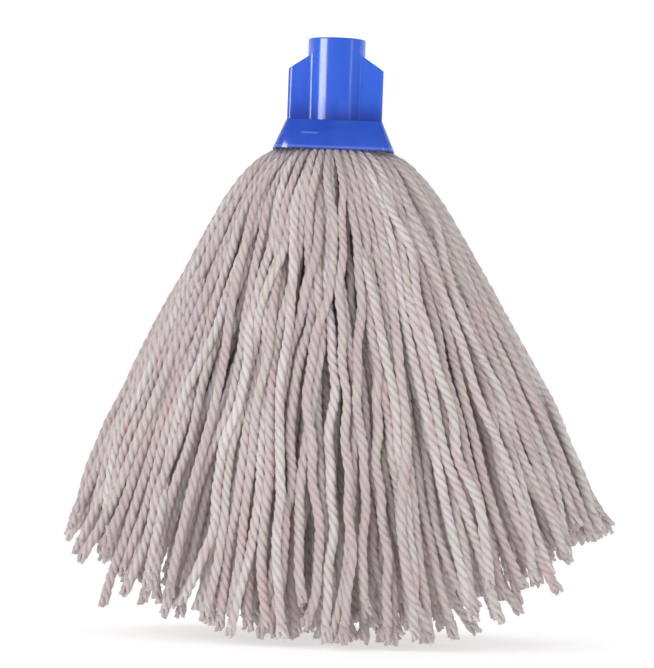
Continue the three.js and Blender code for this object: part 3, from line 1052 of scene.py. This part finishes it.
    def spin(self, name: str, lines: Sequence[Array], make: YarnMake, seed: int) -> bpy.types.Object:
        """Twist yarn along centre lines.

        Args:
            name: The piece's name.
            lines: The points of each strand, from its top to its end.
            make: The yarn's sizes.
            seed: What the random values start from.

        Returns:
            The piece as a plain mesh.
        """
        mesh = bpy.data.meshes.new(name)
        points = np.vstack(lines)
        edges, first = [], 0
        for line in lines:
            edges.extend((i, i + 1) for i in range(first, first + len(line) - 1))
            first += len(line)
        mesh.from_pydata(points.tolist(), edges, [])
        piece = Workshop.place(name, mesh)
        modifier = piece.modifiers.new("yarn", "NODES")
        modifier.node_group = self.tree
        values = {
            "Radius": make.radius,
            "Plies": make.plies,
            "Lay": make.lay,
            "Groove": make.groove,
            "Step": make.step,
            "Around": make.around,
            "Neck Share": make.neck_share,
            "Settle": make.settle,
            "Inside": make.inside,
            "Tufted": make.tufted,
            "Hairs": make.hairs,
            "Seed": seed,
            "Tufts": self.tufts,
            "Finish": self.finish.material(),
        }
        for title, value in values.items():
            modifier[self.keys[title]] = value
        Workshop.settle(piece)
        self.trim(piece.data)
        return piece


@dataclass
class FrayedEnd:
    """A cut yarn end whose plies have sprung apart."""

    plies: int = 4
    ply_radius: float = 0.00125
    centre_radius: float = 0.00165
    lay: float = 0.0200
    sides: int = 5
    fibres: int = 2

    def build(self, name: str, seed: int) -> bpy.types.Object:
        """Make one tuft that points along +Z.

        Args:
            name: The object's name.
            seed: What the random values start from.

        Returns:
            The tuft.
        """
        rng = np.random.default_rng(seed)
        form = bmesh.new()
        fibre = form.verts.layers.float_vector.new("fibre")
        crest = form.verts.layers.float.new("crest")
        for ply in range(self.plies):
            angle = ply / self.plies * TAU
            length = rng.uniform(0.0022, 0.0056)
            splay = rng.uniform(0.0001, 0.0012)
            levels = []
            for step, share in enumerate((0.0, 0.6, 1.0)):
                z = -0.0035 + share * (length + 0.0035)
                out = self.centre_radius + splay * share**1.5
                around = angle - z / self.lay * TAU * 0.7
                thick = self.ply_radius * (1.0, 1.12, 0.80)[step] * rng.uniform(0.92, 1.08)
                middle = Vector((out * math.cos(around), out * math.sin(around), z))
                ring = []
                for side in range(self.sides):
                    turn = side / self.sides * TAU
                    arm = Vector((math.cos(turn), math.sin(turn), rng.uniform(-0.3, 0.3) * (share > 0.9)))
                    vert = form.verts.new(middle + arm * thick)
                    vert[fibre] = (math.cos(turn), math.sin(turn), z + ply)
                    # A crest near 1 keeps the tufts almost free of the painted groove shade.
                    vert[crest] = 0.85
                    ring.append(vert)
                levels.append(ring)
            for lower, upper in zip(levels, levels[1:]):
                for i in range(self.sides):
                    j = (i + 1) % self.sides
                    form.faces.new((lower[i], lower[j], upper[j], upper[i]))
            form.faces.new(levels[0][::-1])
            form.faces.new(levels[-1])
        for _ in range(self.fibres):
            self.hair(form, rng, fibre, crest)
        bmesh.ops.recalc_face_normals(form, faces=form.faces)
        mesh = bpy.data.meshes.new(name)
        form.to_mesh(mesh)
        form.free()
        return bpy.data.objects.new(name, mesh)

    @staticmethod
    def hair(form: bmesh.types.BMesh, rng: np.random.Generator, fibre: Any, crest: Any) -> None:
        """Add one loose fibre as a thin closed spike."""
        angle = rng.uniform(0, TAU)
        root = Vector((math.cos(angle), math.sin(angle), 0)) * rng.uniform(0.0005, 0.0022)
        root.z = rng.uniform(0.001, 0.004)
        lean = Vector((math.cos(angle), math.sin(angle), 0)) * rng.uniform(0.2, 1.0)
        tip = root + (lean + Vector((0, 0, 1))).normalized() * rng.uniform(0.0015, 0.0028)
        verts = []
        for side in range(3):
            turn = side / 3 * TAU
            verts.append(form.verts.new(root + Vector((math.cos(turn), math.sin(turn), 0)) * 0.00022))
        verts.append(form.verts.new(tip))
        for vert in verts:
            vert[fibre] = (1.0, 0.0, vert.co.z)
            vert[crest] = 1.0
        for a, b, c in ((0, 1, 3), (1, 2, 3), (2, 0, 3), (2, 1, 0)):
            form.faces.new((verts[a], verts[b], verts[c]))


class Layer(Enum):
    """Where a strand lies in the fan."""

    SURFACE = "surface"
    UNDER = "under"
    DEEP = "deep"
    CORE = "core"


@dataclass
class FanShape:
    """The outline that the strands fill, measured by the drop below the skirt's mouth."""

    mouth_x: float = 0.0309
    mouth_y: float = 0.0257
    bulge: float = 0.010
    bulge_drop: float = 0.0064
    side_lift: float = 0.067
    front_lift: float = 0.009
    belly_x: float = 0.0055
    belly_y: float = 0.0040
    sway: float = 0.050
    top: float = -0.008
    skirt_taper: float = 0.45
    level_step: float = 0.007

    def __post_init__(self) -> None:
        """Read the fan's width, depth and drop from the CAD model."""
        low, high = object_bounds()
        socket_low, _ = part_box("socket_body")
        self.mouth_z = socket_low[2]
        self.drop = socket_low[2] - low[2]
        self.half_x = (high[0] - low[0]) / 2
        self.half_y = (high[1] - low[1]) / 2
        self.drops = np.arange(self.top, self.drop + 0.012, self.level_step)

    def half(self, drop: Array) -> tuple[Array, Array]:
        """Return the outline's half-axes at some drops.

        Args:
            drop: Drops below the mouth.

        Returns:
            The half-axes along X and Y.
        """
        below = np.maximum(drop, 0.0)
        spring = self.bulge * (1 - np.exp(-below / self.bulge_drop))
        side_drop, front_drop = self.drop - self.side_lift, self.drop - self.front_lift
        arch = np.sin(np.pi * np.clip(below / side_drop, 0, 1))
        x = self.mouth_x + spring + (self.half_x - self.mouth_x - self.bulge) * below / side_drop
        y = self.mouth_y + spring + (self.half_y - self.mouth_y - self.bulge) * below / front_drop
        above = np.maximum(-drop, 0.0) * self.skirt_taper
        return x + self.belly_x * arch - above, y + self.belly_y * arch - above

    def end_drop(self, angle: Array) -> Array:
        """Return how far down the strands at an angle round the fan end."""
        lift = self.front_lift + (self.side_lift - self.front_lift) * np.cos(angle) ** 2
        return self.drop - lift

    @staticmethod
    def even_angles(count: int, a: float, b: float) -> Array:
        """Return angles that are evenly spaced along an ellipse."""
        fine = np.linspace(0, TAU, 2001)
        steps = np.hypot(np.diff(a * np.cos(fine)), np.diff(b * np.sin(fine)))
        run = np.concatenate(([0.0], np.cumsum(steps)))
        return np.interp((np.arange(count) + 0.5) / count * run[-1], run, fine)


@dataclass
class YarnFan:
    """All the strands: planned, packed against one another, then spun and shared among the hanks."""

    surface: int = 112
    under: int = 104
    deep: int = 44
    core: int = 50
    declared: int = 40
    radius: float = 0.0025
    seed: int = 41
    rounds: int = 90
    strays: tuple[tuple[float, float], ...] = ((220.0, 0.014), (250.0, 0.012), (255.0, 0.009), (342.0, 0.008))
    waves: tuple[tuple[float, float, float], ...] = (
        (0.15, 0.30, 0.0026), (0.07, 0.12, 0.0012), (0.030, 0.055, 0.0005),
    )
    trimmed_share: float = 0.07
    trimmed_by: tuple[float, float] = (0.006, 0.02)
    wall_room: float = 0.0012
    shape: FanShape = field(default_factory=FanShape)
    finish: CottonYarn = field(default_factory=CottonYarn)

    def __post_init__(self) -> None:
        """Set up the random source and the empty plan."""
        self.rng = np.random.default_rng(self.seed)
        self.layers: list[Layer] = []

    # -- plan ---------------------------------------------------------------------------------

    def plan(self) -> None:
        """Give each strand its place round the fan, its depth, its length and its path."""
        rng, shape = self.rng, self.shape
        angles, depths, rings = [], [], []
        mouth_rings = {Layer.SURFACE: (0, 1, 0, 1, 2), Layer.UNDER: (2, 3, 4, 3), Layer.DEEP: (5, 5, 4)}
        depth_of = {Layer.SURFACE: (0.0, 0.0022), Layer.UNDER: (0.0062, 0.0105), Layer.DEEP: (0.013, 0.019)}
        layers = ((Layer.SURFACE, self.surface), (Layer.UNDER, self.under), (Layer.DEEP, self.deep))
        for layer, count in layers:
            even = shape.even_angles(count, shape.half_x, shape.half_y)
            angles.append(even + rng.normal(0, 0.017, count))
            depths.append(rng.uniform(*depth_of[layer], count))
            pattern = mouth_rings[layer]
            rings.append(np.array([pattern[i % len(pattern)] for i in range(count)]))
            self.layers += [layer] * count
        self.angle = np.concatenate(angles)
        self.depth = np.concatenate(depths)
        ring = np.concatenate(rings)
        mouth_angle = np.zeros(len(self.angle))
        self.mouth_inset = 0.0018 + 0.0031 * ring
        for number in range(int(ring.max()) + 1):
            members = np.flatnonzero(ring == number)
            members = members[np.argsort(self.angle[members])]
            inset = 0.0018 + 0.0031 * number
            even = shape.even_angles(len(members), shape.mouth_x - inset, shape.mouth_y - inset)
            turn = np.angle(np.mean(np.exp(1j * (self.angle[members] - even))))
            mouth_angle[members] = even + turn
        self.mouth_angle = mouth_angle
        self.end = shape.end_drop(self.angle) + rng.normal(0, 0.0045, len(self.angle))
        trimmed = rng.random(len(self.angle)) < self.trimmed_share
        self.end += np.where(trimmed, -rng.uniform(*self.trimmed_by, len(self.angle)), 0)
        self.end -= 0.006 * np.cos(self.angle)
        for place, longer in self.strays:
            gaps = np.abs(self.angle[: self.surface] - math.radians(place))
            self.end[int(np.argmin(gaps))] += longer
        self.end = np.minimum(self.end, shape.drop - 0.009)
        self.paths = np.concatenate((self.outer_paths(), self.core_paths()), axis=1)

    def outer_paths(self) -> Array:
        """Return the planned path of every strand outside the core, as levels by strands by XY."""
        rng, shape = self.rng, self.shape
        drops = shape.drops[:, None]
        count = len(self.angle)
        surfacing = rng.uniform(0.05, 0.14, count)
        share = np.clip(drops / surfacing, 0, 1)
        share = share * share * (3 - 2 * share)
        inset = self.mouth_inset + (self.depth + self.radius - self.mouth_inset) * share
        slide = np.clip(drops / 0.11, 0, 1) ** 0.8
        angle = self.mouth_angle + (self.angle - self.mouth_angle) * slide
        half_x, half_y = shape.half(drops)
        wave = self.bunching(drops, angle)
        for lowest, highest, size in self.waves:
            length = rng.uniform(lowest, highest, count)
            wave += size * np.sin(drops / length * TAU + rng.uniform(0, TAU, count)) * rng.normal(0, 1, count)
        crossing = np.where(rng.random(count) < 0.16, rng.normal(0, 0.011, count), 0)
        wave += crossing * (np.clip(drops / 0.2, 0, 1.2) - 0.5)
        proud = np.where(crossing != 0, 0.0028, 0.0)
        away = np.clip(drops / 0.03, 0, 1)
        x = (half_x - inset + proud * away) * np.cos(angle) - wave * away * np.sin(angle)
        y = (half_y - inset + proud * away) * np.sin(angle) + wave * away * np.cos(angle)
        return np.stack((x, y), axis=-1)

    def bunching(self, drops: Array, angle: Array) -> Array:
        """Return how far strands lean together in loose bundles, which opens gaps between them.

        Args:
            drops: Drops below the mouth, one row for each level.
            angle: Each strand's angle on each level.

        Returns:
            The sideways shift of each strand on each level.
        """
        lean = np.zeros_like(angle)
        for waves in (9, 14, 19, 26):
            drift = self.rng.normal(0, 9.0)
            phase = self.rng.uniform(0, TAU)
            lean += np.sin(waves * angle + phase + drift * drops) * 0.0125 / waves * 2.0
        return lean * np.clip(drops / 0.12, 0, 1)

    def core_paths(self) -> Array:
        """Return the planned path of every strand in the fixed core."""
        rng, shape = self.rng, self.shape
        drops = shape.drops[:, None]
        number = np.arange(self.core)
        reach = np.sqrt((number + 0.6) / self.core)
        angle = number * math.radians(137.508)
        share = np.clip(drops / shape.drop, 0, 1)
        half_x = 0.0110 + (0.064 - 0.0110) * share
        half_y = 0.0075 + (0.042 - 0.0075) * share
        length = rng.uniform(0.10, 0.2, self.core)
        turn = drops / length * TAU + rng.uniform(0, TAU, self.core)
        wave = 0.0025 * np.sin(turn) * np.clip(drops / 0.06, 0, 1)
        x = reach * half_x * np.cos(angle) - wave * np.sin(angle)
        y = reach * half_y * np.sin(angle) + wave * np.cos(angle)
        self.angle = np.concatenate((self.angle, angle % TAU))
        self.end = np.concatenate((self.end, shape.drop - 0.009 - rng.uniform(0, 0.008, self.core)))
        self.layers += [Layer.CORE] * self.core
        return np.stack((x, y), axis=-1)

    # -- pack ---------------------------------------------------------------------------------

    def pack(self) -> None:
        """Push strands apart level by level, keep them smooth and hold them near their plan."""
        shape = self.shape
        paths, planned = self.paths.copy(), self.paths
        drops = shape.drops
        share = 1 - 0.44 * np.exp(-np.maximum(drops, 0) / 0.030)
        gap = (2 * self.radius * share)[:, None]
        live = drops[:, None] <= self.end[None, :] + shape.level_step
        half_x, half_y = shape.half(drops)
        lead = np.array([layer is Layer.SURFACE for layer in self.layers])
        hold = np.where(lead, 0.06, 0.03)[None, :, None]
        first = second = np.empty(0, int)
        for turn in range(self.rounds):
            if turn % 15 == 0:
                first, second = self.neighbours(paths, live)
            apart = paths[:, first] - paths[:, second]
            reach = np.linalg.norm(apart, axis=-1)
            press = np.maximum(gap - reach, 0) * (live[:, first] & live[:, second])
            push = apart / np.maximum(reach, 1e-6)[..., None] * (press * 0.45)[..., None]
            shift = np.zeros_like(paths)
            np.add.at(shift, (slice(None), first), push)
            np.add.at(shift, (slice(None), second), -push)
            shift = np.clip(shift, -0.0012, 0.0012)
            paths = paths + shift
            paths += (planned - paths) * hold
            moved = paths - planned
            even = moved.copy()
            even[1:-1] = (moved[:-2] + 2 * moved[1:-1] + moved[2:]) / 4
            paths = planned + moved + (even - moved) * 0.8
            outside = np.hypot(
                paths[..., 0] / (half_x[:, None] - self.wall_room),
                paths[..., 1] / (half_y[:, None] - self.wall_room)
            )
            limit = np.where(outside > 1.03, 1.03 / np.maximum(outside, 1e-6), 1.0)
            paths *= (1 + (limit - 1) * 0.5)[..., None]
        self.paths = paths

    @staticmethod
    def neighbours(paths: Array, live: Array) -> tuple[Array, Array]:
        """Return the pairs of strands that come near each other on some level."""
        count = paths.shape[1]
        near = np.zeros((count, count), bool)
        for level, shown in zip(paths, live):
            gaps = np.linalg.norm(level[:, None] - level[None], axis=-1)
            near |= (gaps < 0.011) & shown[:, None] & shown[None]
        return np.nonzero(np.triu(near, 1))

    def line(self, number: int) -> Array:
        """Return a strand's points, cut at its end, with a slight curl there.

        Args:
            number: The strand.

        Returns:
            The points, from the top down.
        """
        shape = self.shape
        drops, end = shape.drops, self.end[number]
        kept = drops[drops < end - 0.002]
        stops = np.append(kept, end)
        x = np.interp(stops, drops, self.paths[:, number, 0])
        y = np.interp(stops, drops, self.paths[:, number, 1])
        x = x + shape.sway * np.maximum(stops, 0)
        rng = np.random.default_rng(self.seed * 1000 + number)
        curl = rng.normal(0, 0.0042, 2)
        late = np.clip((stops - end + 0.045) / 0.045, 0, 1) ** 2
        return np.stack((x + curl[0] * late, y + curl[1] * late * 0.6, shape.mouth_z - stops), axis=-1)

    # -- build --------------------------------------------------------------------------------

    def hank_of(self, number: int) -> int:
        """Return which of the CAD hanks a strand belongs to, counted from one."""
        parts = 6 if self.layers[number] is Layer.CORE else 16
        turn = self.angle[number] % TAU / TAU * parts
        return int(round(turn)) % parts + 1 if parts == 6 else int(turn) % parts + 1

    def pick_declared(self) -> list[int]:
        """Return the strands that go furthest: the outermost few of each hank, in turn."""
        groups: dict[int, list[int]] = {}
        for number, layer in enumerate(self.layers):
            if layer is Layer.SURFACE:
                groups.setdefault(self.hank_of(number), []).append(number)
        for members in groups.values():
            members.sort(key=lambda n: -float(np.linalg.norm(self.line(n)[-1] - (0, 0, self.shape.mouth_z))))
        chosen: list[int] = []
        rank = 0
        while len(chosen) < self.declared:
            for hank in sorted(groups):
                if rank < len(groups[hank]) and len(chosen) < self.declared:
                    chosen.append(groups[hank][rank])
            rank += 1
        return chosen

    def attach(self, piece: bpy.types.Object) -> None:
        """Bake a piece's placement into its mesh.

        Args:
            piece: The yarn.
        """
        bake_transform(piece)

    def build(self) -> None:
        """Make every strand and stand the hanks in for their CAD solids."""
        self.plan()
        self.pack()
        tufts = bpy.data.collections.new("frayed_ends")
        for number in range(5):
            tufts.objects.link(FrayedEnd().build(f"frayed_end_{number + 1}", 70 + number))
        tree = YarnTree(tufts, self.finish)
        close = YarnMake()
        plain = YarnMake(step=0.0020, around=16, hairs=3000.0)
        chosen = self.pick_declared()
        for rank, number in enumerate(sorted(chosen, key=self.hank_of)):
            line = self.line(number)
            piece = tree.spin(f"free_strand_{rank + 1:02d}", [line], close, 500 + rank)
            self.attach(piece)
            self.declare(line)
        for hank in range(1, 17):
            members = [n for n in range(len(self.layers)) if self.hank_of(n) == hank and n not in chosen]
            front = [n for n in members if self.layers[n] is Layer.SURFACE]
            back = [n for n in members if self.layers[n] in (Layer.UNDER, Layer.DEEP)]
            node = f"outer_hank_{hank:02d}"
            for title, group, make in (("face", front, close), ("back", back, plain)):
                piece = tree.spin(f"yarn_{title}_{hank:02d}", [self.line(n) for n in group], make, 60 + hank)
                self.attach(piece)
                if title == "face":
                    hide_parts(node)
                LOG.info("%s: %d strands", piece.name, len(group))
        coarse = YarnMake(around=12, step=0.0030, hairs=0.0)
        for part in range(1, 7):
            members = [
                n for n, layer in enumerate(self.layers) if layer is Layer.CORE and self.hank_of(n) == part
            ]
            piece = tree.spin(f"core_yarn_{part}", [self.line(n) for n in members], coarse, 90 + part)
            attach(piece, "root")
            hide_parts(f"inner_hank_{part}")
            LOG.info("%s: %d strands", piece.name, len(members))
        self.folded(tree)
        for tuft in list(tufts.objects):
            Workshop.drop(tuft)
        bpy.data.collections.remove(tufts)

    def declare(self, line: Array) -> None:
        """Add a short tip past a strand's end, on a copy of its points that is not kept."""
        tip = line[-1] + (line[-1] - line[-2]) / np.linalg.norm(line[-1] - line[-2]) * 0.005
        line = np.vstack((line, tip))

    def folded(self, tree: YarnTree) -> None:
        """Make the folded middle of the yarn, which loops over the staple inside the skirt."""
        low, high = box_corner("yarn_fold")
        lines = []
        columns = 11
        for row, reach in enumerate((0.017, 0.0115, 0.0062)):
            for column in range(columns):
                x = (column / (columns - 1) * 2 - 1) * (high.x - 0.005)
                top = high.z - 0.0022 - row * 0.0022
                foot = low.z + 0.0022
                turns = np.linspace(0, math.pi, 11)
                line = [(x, -reach * math.cos(t), foot + (top - foot) * math.sin(t) ** 0.6) for t in turns]
                lines.append(np.array(line))
        make = YarnMake(radius=0.0017, around=12, step=0.002, neck_share=1.0, tufted=False, hairs=0.0)
        piece = tree.spin("folded_yarn", lines, make, 33)
        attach(piece, "root")
        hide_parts("yarn_fold")
        LOG.info("folded_yarn: %d loops", len(lines))


# ---------------------------------------------------------------------------------------------
# Studio
# ---------------------------------------------------------------------------------------------


@dataclass(frozen=True)
class Softbox:
    """A square or oblong light that faces the mop.

    mirrored says whether glossy surfaces show it, and diffuse whether it lights matt ones.
    """

    title: str
    place: tuple[float, float, float]
    width: float
    height: float
    watts: float
    mirrored: bool = True
    diffuse: bool = True


@dataclass
class Studio:
    """The paper sweep, the lights and the camera."""

    distance: float = 1.90
    eye_height: float = 0.166
    frame_height: float = 0.366
    roll: float = 2.0
    aim_height: float = 0.17
    horizon: float = 0.62
    zenith: float = 0.30
    lights: tuple[Softbox, ...] = (
        Softbox("left_softbox", (-1.40, -1.10, 0.60), 0.60, 0.60, 5.5, mirrored=False),
        Softbox("front_softbox", (-0.9, -2.0, 1.05), 1.1, 0.8, 8.0, mirrored=False),
        Softbox("right_softbox", (1.45, -0.75, 0.45), 0.25, 0.9, 2.2),
    )
    glint: Softbox = Softbox("socket_strip", (-1.33, -0.895, 0.66), 0.85, 0.60, 25.0, diffuse=False)
    finish: StudioPaper = field(default_factory=StudioPaper)

    def camera(self) -> None:
        """Place the camera level with the middle of the yarn, in front of the mop."""
        data = bpy.data.cameras.new("camera")
        data.sensor_width = 36.0
        data.lens = data.sensor_width * self.distance / self.frame_height
        data.clip_end = 50.0
        camera = bpy.data.objects.new("camera", data)
        bpy.context.scene.collection.objects.link(camera)
        turn = Matrix.Rotation(math.radians(90), 4, "X") @ Matrix.Rotation(math.radians(self.roll), 4, "Z")
        camera.matrix_world = Matrix.Translation((0.0, -self.distance, self.eye_height)) @ turn
        bpy.context.scene.camera = camera

    def hang(self, lamp: Softbox) -> bpy.types.Object:
        """Hang one softbox, facing the mop.

        Args:
            lamp: Its size, place and strength.

        Returns:
            The light.
        """
        data = bpy.data.lights.new(lamp.title, "AREA")
        data.shape = "RECTANGLE"
        data.size, data.size_y = lamp.width, lamp.height
        data.energy = lamp.watts
        made = bpy.data.objects.new(lamp.title, data)
        made.visible_glossy, made.visible_diffuse = lamp.mirrored, lamp.diffuse
        bpy.context.scene.collection.objects.link(made)
        aim = Vector((0, 0, self.aim_height)) - Vector(lamp.place)
        turn = aim.to_track_quat("-Z", "Y").to_matrix().to_4x4()
        made.matrix_world = Matrix.Translation(lamp.place) @ turn
        return made

    def strip(self, socket: bpy.types.Object) -> None:
        """Hang the strip light that only the glossy socket takes.

        Args:
            socket: The finished socket.
        """
        lit = bpy.data.collections.new("strip_lit")
        lit.objects.link(socket)
        self.hang(self.glint).light_linking.receiver_collection = lit
        LOG.info("studio: strip light on %s", socket.name)

    def light(self) -> None:
        """Hang the softboxes and set the even light of the room."""
        for lamp in self.lights:
            self.hang(lamp)
        world = bpy.data.worlds.new("studio_room")
        world.use_nodes = True
        sheet = NodeSheet(world.node_tree)
        sky = sheet.add("ShaderNodeTexCoord").outputs["Generated"]
        height = sheet.add("ShaderNodeSeparateXYZ", {0: sky}).outputs[2]
        strength = sheet.span(height, (0.05, 0.85), (self.horizon, self.zenith))
        shine = sheet.add("ShaderNodeBackground", {"Color": (1.0, 1.0, 1.0, 1.0), "Strength": strength})
        sheet.add("ShaderNodeOutputWorld", {"Surface": shine.outputs[0]})
        bpy.context.scene.world = world

    def paper(self) -> None:
        """Lay the paper sweep that rises behind the mop."""
        profile = [(-6.0, 0.0), (2.0, 0.0)]
        for step in range(1, 13):
            angle = step / 12 * math.pi / 2
            profile.append((2.0 + 1.5 * math.sin(angle), 1.5 * (1 - math.cos(angle))))
        profile.append((3.5, 5.0))
        form = bmesh.new()
        rows = [[form.verts.new((x, y, z)) for x in (-8.0, 8.0)] for y, z in profile]
        for near, far in zip(rows, rows[1:]):
            form.faces.new((near[0], near[1], far[1], far[0]))
        mesh = bpy.data.meshes.new("studio_paper")
        form.to_mesh(mesh)
        form.free()
        mesh.shade_smooth()
        sweep = Workshop.place("studio_paper", mesh)
        Workshop.dress(sweep, self.finish)
        sweep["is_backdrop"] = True

    def build(self) -> None:
        """Set up the studio."""
        bpy.context.scene.view_settings.view_transform = "Standard"
        self.camera()
        self.light()
        self.paper()
        LOG.info("studio: %d softboxes", len(self.lights))


def main() -> None:
    """Build the studio, the socket, the staple and the yarn, in that order."""
    logging.basicConfig(level=logging.INFO, format="%(name)s %(message)s")
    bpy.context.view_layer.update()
    studio = Studio()
    studio.build()
    studio.strip(HandleSocket().build())
    YarnStaple().build()
    YarnFan().build()


if __name__ == "__main__":
    main()
